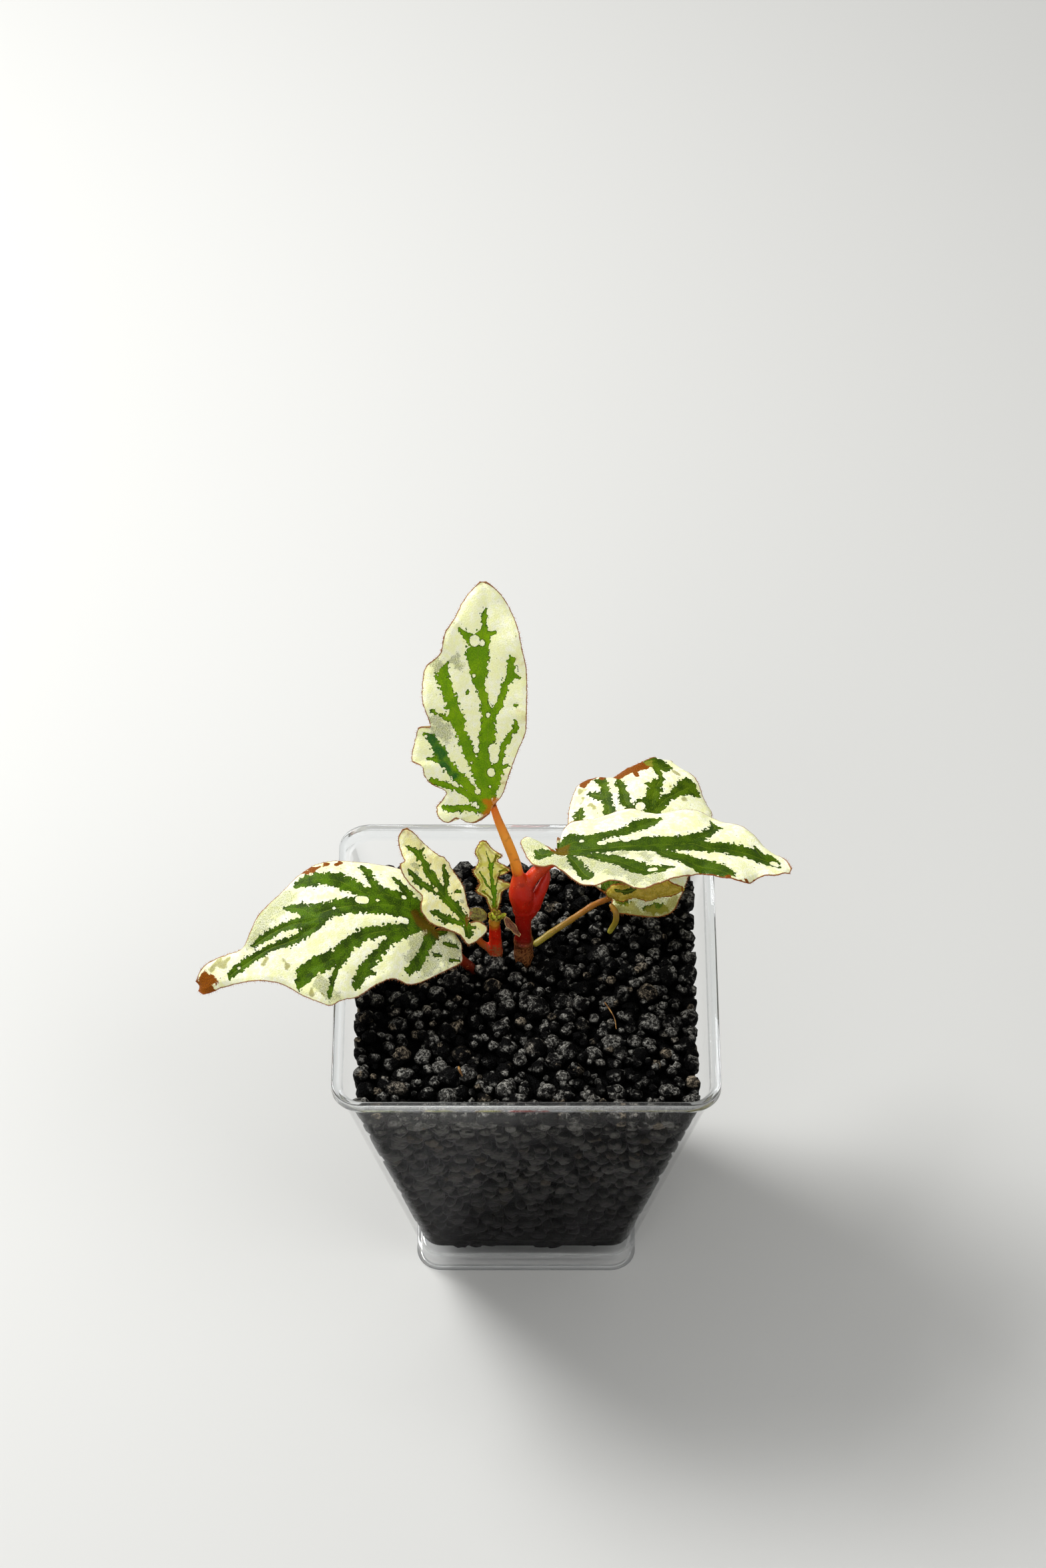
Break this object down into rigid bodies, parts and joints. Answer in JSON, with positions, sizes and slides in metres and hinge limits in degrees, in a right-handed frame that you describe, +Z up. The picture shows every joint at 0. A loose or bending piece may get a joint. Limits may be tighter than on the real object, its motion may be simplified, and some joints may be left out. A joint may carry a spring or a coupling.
{
  "type": "potted begonia",
  "caption": "Small variegated begonia with cream and green leaves on red stems, growing in black granular soil in a clear square tapered cup.",
  "frame": {"origin": "middle of the whole plant's footprint, at the level the pot's foot stands on", "axes": "+Z up, +X to the right and +Y to the back as seen from the pot's front; the pot's sides lie along X and Y"},
  "size_m": [0.1124, 0.0855, 0.1297],
  "materials": {
    "clear_plastic": "clear, moulded, polished",
    "soil": "matt black baked granules",
    "red_stem": "fleshy, finely haired",
    "pink_stem": "fleshy, finely haired",
    "olive_stem": "fleshy, finely haired",
    "leaf": "cream with green along the veins, satin, red edge",
    "leaf_underside": "olive, matt",
    "bud": "yellow-green young leaves",
    "papery": "dry, papery, brown"
  },
  "bodies": {
    "root": {"pot": "clear_plastic", "soil": "soil", "stem_main": "red_stem", "stem_second": "red_stem", "petiole_top": "pink_stem", "petiole_back": "olive_stem", "petiole_left": "red_stem", "leaf_top": "leaf", "leaf_left": "leaf", "leaf_right": "leaf", "leaf_back": "leaf", "leaf_small": "leaf", "leaf_tiny": "leaf", "leaf_under": "leaf_underside", "bud": "bud", "stipule_left": "papery", "stipule_right": "papery", "strip": "papery"}
  },
  "joints": []
}
